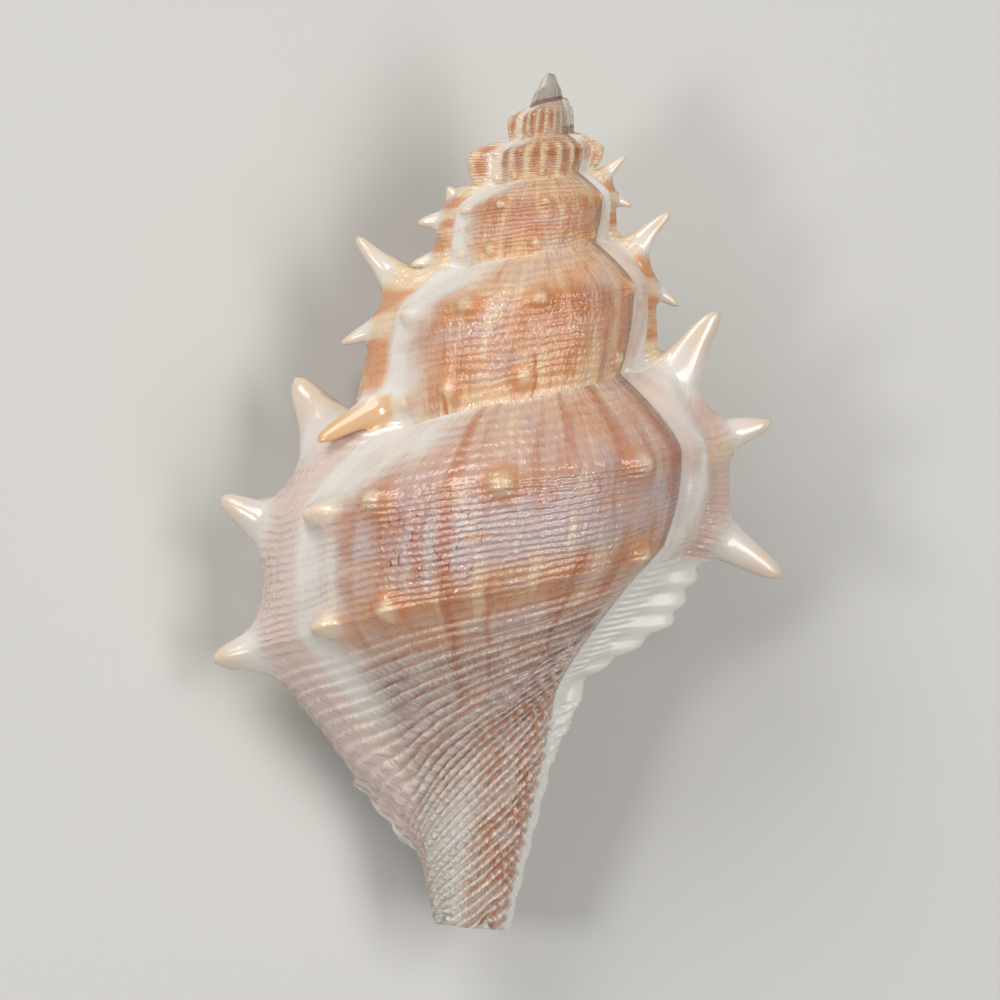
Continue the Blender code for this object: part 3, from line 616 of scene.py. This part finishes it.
# Colour down the wall of the last whorl and of the spire: row, red, green, blue
BODY_BANDS = (
    (0.00, 214, 184, 160),
    (0.10, 206, 172, 152),
    (0.24, 202, 164, 146),
    (0.30, 196, 150, 124),
    (0.38, 192, 156, 144),
    (0.50, 194, 172, 168),
    (0.68, 194, 170, 164),
    (0.77, 198, 158, 134),
    (0.83, 200, 144, 104),
    (0.95, 200, 146, 108),
    (1.05, 202, 162, 136),
    (1.25, 214, 188, 172),
    (1.60, 214, 192, 180),
    (2.10, 226, 206, 190),
    (3.00, 236, 218, 196),
)
SPIRE_BANDS = (
    (0.00, 226, 194, 160),
    (0.12, 222, 182, 146),
    (0.24, 216, 170, 132),
    (0.29, 206, 142, 94),
    (0.38, 204, 142, 100),
    (0.48, 206, 152, 120),
    (0.66, 210, 158, 124),
    (0.78, 216, 164, 122),
    (0.88, 224, 178, 132),
    (1.00, 232, 200, 162),
)
# Dark streaks of growth on the last whorl: turn, half width, first and last row, strength
STREAKS = (
    (0.052, 0.010, 0.00, 1.50, 0.75),
    (-0.100, 0.016, 0.00, 0.32, 0.55),
    (-0.165, 0.014, 0.15, 0.50, 0.75),
    (0.143, 0.014, 0.28, 1.00, 0.85),
    (-0.062, 0.007, 0.80, 1.50, 0.75),
    (0.014, 0.006, 0.85, 1.45, 0.60),
    (-0.110, 0.012, 0.70, 1.05, 0.60),
    (0.100, 0.018, 0.34, 0.80, 0.45),
    (0.075, 0.010, 0.50, 0.72, 0.60),
    (-1.012, 0.004, 0.78, 0.97, 0.90),
    (-0.893, 0.006, 0.90, 1.00, 0.90),
    (-1.060, 0.040, 0.27, 0.42, 0.55),
    (-0.860, 0.030, 0.26, 0.45, 0.60),
    (-1.180, 0.020, 0.28, 0.60, 0.50),
    (-1.960, 0.050, 0.30, 0.50, 0.50),
)

# Noises over the wall: how often each changes in a turn, and in a row or a cord
FINE_NOISE, PATCH_NOISE, STREAK_NOISE = (240.0, 9.0), (12.0, 5.0), (60.0, 2.2)
SPECK_NOISE, CRACK_NOISE = (190.0, 1.3), (95.0, 22.0)
STREAK_SCALE, CRACK_SCALE = 0.8, 0.75
# Beads in a turn, on the base and on the canal, and the rows between the two
BEADS, CANAL_BEADS, CANAL_BEAD_ROWS = 110.0, 46.0, (1.45, 1.65)
# How far noise moves the cords, in cords, and the beads and the edges of white, in turns
CORD_WAVER, CORD_TREMOR, BEAD_WAVER, STREAK_WAVER, EDGE_WAVER = 2.2, 0.35, 0.02, 0.02, 0.10
# The turns over which the last whorl's colours come, and the rows over which its base's do
BODY_COLOUR_TURNS, BASE_COLOUR_ROWS = (-0.66, -0.60), (0.95, 1.35)

# Zones: first and last turn, turns past a crest or row of each, and how soft its edge is
CRACK_TURNS, CRACK_ROWS = (0.03, 0.10, 0.02), (0.42, 0.74, 0.05)
CREST_ZONE, FRONT_ZONE = (-0.040, 0.030, 0.014), (0.036, 0.064, 0.009)
# The painted shadow in the groove beside the right varix's rim
RIM_SHADOW = (0.072, 0.082, 0.008)
CREST_PATCHES = ((0.15, 0.24, 0.05), (0.44, 0.74, 0.08))
RIGHT_FACE_TURNS = (-0.33, -0.10, 0.04)
LOW_RIGHT_ZONE, LOW_RIGHT_ROWS = (-0.02, 0.07, 0.02), (0.98, 1.10)
LOW_LEFT_TURNS, LOW_LEFT_ROWS = (-0.86, -0.775, 0.012), (0.80, 1.0, 0.04)
RIB_ROWS, TIP_BAND_ROWS, TIP_TURNS = (0.20, 0.92, 0.12), (0.80, 0.95, 0.10), (-3.95, -4.25)
GLAZE_TURNS, GLAZE_ROWS = (-0.585, -0.615), (1.00, 1.03)
RIGHT_SIDE = (0.0, -0.05)

# Height in metres of the relief that is too fine for the mesh
CORD_RELIEF, BEAD_RELIEF, GROWTH_RELIEF = 0.00010, 0.00014, 0.00004
WAVE_RELIEF, SPECK_RELIEF = 0.00016, 0.00011
# Lime reflects strongly. Its roughness varies, and is more on the flange at the lower right.
LIME_IOR, GLOSS, FLANGE_ROUGHNESS = 1.75, (0.14, 0.30), 0.45

finish = bpy.data.materials.new("shell_lime")
finish.use_nodes = True
tree = finish.node_tree
surface = tree.nodes["Principled BSDF"]


def add_node(kind, inputs=None, **settings):
    """A node with its settings, and with each input linked to a socket or given a value."""
    node = tree.nodes.new(kind)
    for name, value in settings.items():
        setattr(node, name, value)
    for socket, value in (inputs or {}).items():
        if isinstance(value, bpy.types.NodeSocket):
            tree.links.new(value, node.inputs[socket])
        else:
            node.inputs[socket].default_value = value
    return node


def sums(operation, first, second=0.0, third=0.0):
    """The result of a node of arithmetic."""
    inputs = {0: first, 1: second, 2: third}
    return add_node("ShaderNodeMath", inputs, operation=operation).outputs[0]


def mixed(first, second, share):
    """A colour with a share of a second one laid over it."""
    inputs = {0: share, 6: first, 7: second}
    return add_node("ShaderNodeMix", inputs, data_type="RGBA").outputs[2]


def between(value, low, high, to_low=0.0, to_high=1.0):
    """A smooth step of a value from one level to another."""
    names = {"Value": value, "From Min": low, "From Max": high, "To Min": to_low, "To Max": to_high}
    return add_node("ShaderNodeMapRange", names, interpolation_type="SMOOTHSTEP").outputs[0]


def mixed_value(first, second, share):
    return add_node("ShaderNodeMix", {0: share, 2: first, 3: second}).outputs[0]


def times(*values):
    result = values[0]
    for value in values[1:]:
        result = sums("MULTIPLY", result, value)
    return result


def either(first, second):
    """The larger of two shares."""
    return sums("MAXIMUM", first, second)


def rest_of(share):
    """What a share leaves of 1."""
    return sums("SUBTRACT", 1.0, share)


def scaled(value, factor, plus):
    return sums("MULTIPLY_ADD", value, factor, plus)


def wavered(value, grain, reach):
    """A value moved either way by a noise."""
    return sums("MULTIPLY_ADD", sums("SUBTRACT", grain, 0.5), reach, value)


def wave(angle):
    """A wave between 0 and 1, 1 at angle 0."""
    return scaled(sums("COSINE", angle), 0.5, 0.5)


def wall_place(across, per_turn, per_across):
    """The place on the wall for a noise, by the turn and by a second measure."""
    inputs = {0: times(turn_at, per_turn), 1: times(across, per_across)}
    return add_node("ShaderNodeCombineXYZ", inputs).outputs[0]


def noise(across, sizes, scale=1.0, detail=4.0):
    inputs = {"Vector": wall_place(across, *sizes), "Scale": scale, "Detail": detail}
    return add_node("ShaderNodeTexNoise", inputs).outputs[0]


growth = add_node("ShaderNodeAttribute", attribute_name="growth").outputs["Vector"]
marks = add_node("ShaderNodeAttribute", attribute_name="marks").outputs["Vector"]
turn_at, row_at, cord_at = add_node("ShaderNodeSeparateXYZ", {0: growth}).outputs
spine_at, knob_at, inside_mark = add_node("ShaderNodeSeparateXYZ", {0: marks}).outputs
inside_at = between(inside_mark, 0.0, 0.05)
past = sums("SUBTRACT", turn_at, LAST_VARIX)
past = sums("WRAP", past, 0.5 * VARIX_STEP, -0.5 * VARIX_STEP)
fine_at = noise(row_at, FINE_NOISE)
patches = noise(row_at, PATCH_NOISE)
streaks = noise(row_at, STREAK_NOISE, STREAK_SCALE)


def bands_of(stops_wanted, last_row):
    """A colour ramp down the wall, read at the row."""
    bands = add_node("ShaderNodeValToRGB", {0: sums("DIVIDE", row_at, last_row)})
    stops = bands.color_ramp.elements
    for number, (row_of_stop, *tint) in enumerate(stops_wanted):
        stop = stops[number] if number < 2 else stops.new(row_of_stop / last_row)
        stop.position = row_of_stop / last_row
        stop.color = colour(*tint)
    return bands.outputs[0]


def inside_of(value, low, high, soft):
    """1 where a value lies between two levels, with soft edges."""
    return times(between(value, low - soft, low), between(value, high + soft, high))


# Bands down the wall, with patches of deeper and paler colour
on_body = between(turn_at, *BODY_COLOUR_TURNS)
colour_now = mixed(bands_of(SPIRE_BANDS, 1.0), bands_of(BODY_BANDS, 3.0), on_body)
colour_now = mixed(colour_now, ORANGE, times(between(patches, 0.50, 0.66), 0.50))
colour_now = mixed(colour_now, MAUVE, times(between(patches, 0.50, 0.34), 0.50))

# Streaks of growth across the bands, long down the wall and narrow along the turn
brown_streaks = times(between(streaks, 0.53, 0.66), 0.48, between(row_at, 1.7, 1.2))
colour_now = mixed(colour_now, ORANGE_BROWN, brown_streaks)
colour_now = mixed(colour_now, CREAM, times(between(streaks, 0.47, 0.34), 0.50))
wavering = wavered(turn_at, patches, STREAK_WAVER)
ragged = between(streaks, 0.25, 0.55, 0.55, 1.0)
for streak_turn, half_width, first_row, last_row, strength in STREAKS:
    away = sums("ABSOLUTE", sums("SUBTRACT", wavering, streak_turn))
    along = inside_of(row_at, first_row, last_row, 0.12)
    streak = times(between(away, half_width, 0.2 * half_width), along, ragged, strength)
    colour_now = mixed(colour_now, ORANGE_BROWN, streak)

# A few hairline cracks on the left of the last whorl
crack_inputs = {"Vector": wall_place(row_at, *CRACK_NOISE), "Scale": CRACK_SCALE}
cracked = add_node("ShaderNodeTexVoronoi", crack_inputs, feature="DISTANCE_TO_EDGE")
crack_zone = times(inside_of(turn_at, *CRACK_TURNS), inside_of(row_at, *CRACK_ROWS))
cracks = times(between(cracked.outputs["Distance"], 0.032, 0.010), crack_zone)
cracks = times(cracks, between(fine_at, 0.50, 0.56))

# Cords: pale crests with darker grooves, strongest on the base, and beaded by growth. This is
# partly the shell's own colour, the white beads and the brown between them on the base, and
# partly painted shade in the grooves and a painted highlight on the crests.
wavy_cord = wavered(wavered(cord_at, patches, CORD_WAVER), fine_at, CORD_TREMOR)
crest = wave(times(wavy_cord, 2.0 * math.pi))
uneven = wavered(turn_at, fine_at, BEAD_WAVER)
bead_wave = sums("SINE", times(uneven, 2.0 * math.pi * BEADS))
canal_wave = sums("SINE", scaled(uneven, 2.0 * math.pi * CANAL_BEADS, times(cord_at, math.pi)))
beads = mixed_value(bead_wave, canal_wave, between(row_at, *CANAL_BEAD_ROWS))
beads = scaled(beads, 0.5, 0.5)
on_base = times(between(row_at, *BASE_COLOUR_ROWS), on_body)
groove = sums("POWER", rest_of(crest), 1.3)
# Darker grooves: painted shade, and on the base also the shell's own brown between its cords
groove_tint_and_shade = times(groove, scaled(on_base, 0.50, scaled(on_body, 0.05, 0.02)))
colour_now = mixed(colour_now, MAUVE_BROWN, groove_tint_and_shade)
# Paler crests: a painted highlight, and on the base also the shell's own white beads
crest_tint_and_highlight = times(crest, scaled(on_base, 0.75, scaled(on_body, 0.06, 0.02)), scaled(beads, 0.7, 0.3))
colour_now = mixed(colour_now, WHITE, crest_tint_and_highlight)

# The canal has orange-brown blots on its right and is porcelain white on its left
on_canal = times(between(row_at, 1.6, 2.1), between(turn_at, 0.06, -0.04))
blots = times(on_canal, between(patches, 0.42, 0.58), rest_of(times(crest, beads)))
colour_now = mixed(colour_now, ORANGE_BROWN, times(blots, 0.75))
canal_left = times(between(row_at, 1.9, 2.4), between(turn_at, 0.0, 0.08), 0.75)
colour_now = mixed(colour_now, PORCELAIN, canal_left)

# Before each varix the wall is white, far along the ramp and less so below
white_from = scaled(between(row_at, 0.36, 0.0), -0.090, -0.098)
white_edge = wavered(sums("SUBTRACT", past, white_from), patches, EDGE_WAVER)
before = times(between(white_edge, -0.030, 0.040), between(past, -0.030, -0.060))
before = times(before, between(row_at, 1.75, 1.15, 0.15, 1.0))
colour_now = mixed(colour_now, WHITE, times(before, between(fine_at, 0.25, 0.50, 0.75, 0.95)))

# The crest is pale pink on the last varix and cream with orange patches on older ones
patch_rows = either(*(inside_of(row_at, *rows) for rows in CREST_PATCHES))
older = between(turn_at, -0.35, -0.45, 0.35, 1.0)
orange_patches = times(patch_rows, between(patches, 0.35, 0.50, 0.3, 0.9), older)
right_face = times(inside_of(turn_at, *RIGHT_FACE_TURNS), between(patches, 0.66, 0.50))
old_crest = mixed(mixed(CREAM, ORANGE, orange_patches), PINK_TAN, right_face)
# The last varix's crest is mauve in the grooves between its cords: painted shade
last_crest = mixed(PINK, MAUVE, times(groove, 0.20))
crests = mixed(old_crest, last_crest, between(turn_at, 0.08, 0.12))
colour_now = mixed(colour_now, crests, times(inside_of(past, *CREST_ZONE), 0.9))

# In front of it the wall is white, with a painted brown shadow beside the right varix's rim,
# whose lower edge is white as well
in_front = inside_of(past, *FRONT_ZONE)
colour_now = mixed(colour_now, WHITE, times(in_front, between(streaks, 0.30, 0.60, 1.0, 0.55)))
on_right = between(turn_at, *RIGHT_SIDE)
# Painted shade in the groove between the whorl and the rim
rim_painted_shadow = times(inside_of(past, *RIM_SHADOW), on_right)
colour_now = mixed(colour_now, MAUVE_BROWN, times(rim_painted_shadow, 0.45))
low_right = times(inside_of(past, *LOW_RIGHT_ZONE), between(row_at, *LOW_RIGHT_ROWS), on_right)
colour_now = mixed(colour_now, WHITE, low_right)

# Ribs of the early whorls are cream, with orange-brown between them
rib = wave(times(turn_at, 2.0 * math.pi * RIBS))
ribbed = times(between(turn_at, *RIB_TURNS), inside_of(row_at, *RIB_ROWS))
ribbed = times(ribbed, between(turn_at, -4.2, -4.0))
between_ribs = times(between(rib, 0.5, 0.1), between(row_at, 0.75, 0.55, 0.15, 0.5))
colour_now = mixed(colour_now, ORANGE_BROWN, times(ribbed, between_ribs))
colour_now = mixed(colour_now, CREAM, times(ribbed, between(rib, 0.5, 0.9), 0.8))

# The cracks lie over all of that
colour_now = mixed(colour_now, CRACK_BROWN, times(cracks, 0.85))

# Knobs are cream at the top, with orange round them, and spines are tan towards the tip,
# but for the orange-tan one at the foot of the penultimate whorl
round_knobs = times(inside_of(knob_at, 0.15, 0.40, 0.15), rest_of(before), 0.45)
colour_now = mixed(colour_now, ORANGE, round_knobs)
colour_now = mixed(colour_now, CREAM, between(knob_at, 0.35, 0.90, 0.0, 0.8))
colour_now = mixed(colour_now, WHITE, between(spine_at, 0.05, 0.25, 0.0, 0.75))
colour_now = mixed(colour_now, TAN, between(spine_at, 0.30, 0.85, 0.0, 0.6))
low_left = times(inside_of(turn_at, *LOW_LEFT_TURNS), inside_of(row_at, *LOW_LEFT_ROWS))
low_left = times(low_left, between(spine_at, 0.02, 0.10))
colour_now = mixed(colour_now, ORANGE_TAN, times(low_left, 0.85))

# The oldest turns are worn grey, with a dark band at the foot
oldest = between(turn_at, *TIP_TURNS)
colour_now = mixed(colour_now, GREY, oldest)
tip_band = times(oldest, inside_of(row_at, *TIP_BAND_ROWS), 0.8)
colour_now = mixed(colour_now, MAUVE_BROWN, tip_band)

# The inside is porcelain white, and so is the glaze that it leaves on the whorl beside it
glaze = between(wavered(turn_at, patches, EDGE_WAVER), *GLAZE_TURNS)
glazed = either(inside_at, times(glaze, between(row_at, *GLAZE_ROWS)))
colour_now = mixed(colour_now, PORCELAIN, glazed)
tree.links.new(colour_now, surface.inputs["Base Color"])

# Gloss, and the fine relief of cords, beads and growth lines, which is least where the
# wall is white
surface.inputs["IOR"].default_value = LIME_IOR
roughness = between(fine_at, 0.3, 0.7, *GLOSS)
roughness = mixed_value(roughness, FLANGE_ROUGHNESS, times(low_right, 0.8))
tree.links.new(roughness, surface.inputs["Roughness"])
smooth_white = either(before, either(in_front, low_right))
rough = times(rest_of(glazed), between(spine_at, 0.30, 0.05), rest_of(times(smooth_white, 0.9)))
on_whorl = times(rough, between(row_at, 1.2, 0.9), scaled(on_body, 0.35, 0.65))
specks = noise(wavy_cord, SPECK_NOISE, detail=2.0)
relief = times(crest, scaled(specks, 1.2, 0.3), on_whorl, CORD_RELIEF)
relief = sums("ADD", relief, times(beads, crest, rough, on_base, BEAD_RELIEF))
for grain, height in ((specks, SPECK_RELIEF), (fine_at, GROWTH_RELIEF), (streaks, WAVE_RELIEF)):
    relief = sums("ADD", relief, times(grain, rough, height))
bump = add_node("ShaderNodeBump", {"Strength": 1.0, "Distance": 1.0, "Height": relief})
tree.links.new(bump.outputs[0], surface.inputs["Normal"])

shell.data.materials.clear()
shell.data.materials.append(finish)
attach(shell, "root")
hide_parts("shell")

# The floor. A plain pale sheet that the shell lies on.
FLOOR_SIZE, FLOOR_ROUGHNESS, FLOOR_GREY = 3.0, 0.9, colour(205, 203, 198)
bpy.ops.object.select_all(action="DESELECT")
bpy.ops.mesh.primitive_plane_add(size=FLOOR_SIZE, location=(0.0, 0.0, low_corner.z))
floor = bpy.context.object
floor.name = "floor"
bpy.ops.object.transform_apply(location=True, rotation=True, scale=True)
paper = bpy.data.materials.new("floor_paper")
paper.use_nodes = True
paper_surface = paper.node_tree.nodes["Principled BSDF"]
paper_surface.inputs["Base Color"].default_value = FLOOR_GREY
paper_surface.inputs["Roughness"].default_value = FLOOR_ROUGHNESS
floor.data.materials.append(paper)

# Light and camera. Soft studio light: a pale sky, two window-like lamps beside the camera,
# whose reflections lie on the last whorl, and one above. The camera looks square at the
# shell's back, with the spire up.

# Each lamp: how far it stands to the view's right, to its top and out from the shell, then
# its width and height, all in metres, and its watts
SKY = 0.17
LAMPS = (
    ("window", (0.45, 0.00, 0.60), (0.66, 0.24), 3.2),
    ("small_window", (-0.40, 0.00, 0.60), (0.16, 0.12), 1.4),
    ("top_light", (-0.36, 0.60, 0.50), (0.50, 0.50), 3.9),
)
# In metres but for the sensor, and the middle of the view in mm from the tip of the spire.
# The camera's right and up, in the shell's frame, lean the spire to the right.
VIEW_WIDTH, VIEW_DISTANCE, SENSOR, CLIP_START = 0.0816, 0.60, 36.0, 0.05
VIEW_MIDDLE = (-1.09, -35.15, 0.0)
VIEW_RIGHT, VIEW_UP = (0.9962, 0.0876, 0.0), (-0.0876, 0.9962, 0.0)

bpy.context.scene.view_settings.view_transform = "Standard"
out = Vector(VIEW_RIGHT).cross(Vector(VIEW_UP))
view_turn = Matrix((VIEW_RIGHT, VIEW_UP, out)).transposed().to_4x4()
view_frame = lay @ Matrix.Translation(Vector(VIEW_MIDDLE) * MM) @ view_turn
world = bpy.data.worlds.new("studio")
bpy.context.scene.world = world
world.use_nodes = True
background = world.node_tree.nodes["Background"]
background.inputs["Color"].default_value = (1.0, 1.0, 1.0, 1.0)
background.inputs["Strength"].default_value = SKY
for name, spot, (wide, tall), watts in LAMPS:
    lamp = bpy.data.objects.new(name, bpy.data.lights.new(name, "AREA"))
    bpy.context.scene.collection.objects.link(lamp)
    lamp.data.shape = "RECTANGLE"
    lamp.data.size, lamp.data.size_y = wide, tall
    lamp.data.energy = watts
    turned = (-Vector(spot)).to_track_quat("-Z", "Y").to_matrix().to_4x4()
    lamp.matrix_world = view_frame @ Matrix.Translation(spot) @ turned

camera = bpy.data.objects.new("camera", bpy.data.cameras.new("camera"))
bpy.context.scene.collection.objects.link(camera)
camera.data.sensor_width = SENSOR
camera.data.lens = SENSOR * VIEW_DISTANCE / VIEW_WIDTH
camera.data.clip_start = CLIP_START
camera.matrix_world = view_frame @ Matrix.Translation((0.0, 0.0, VIEW_DISTANCE))
bpy.context.scene.camera = camera
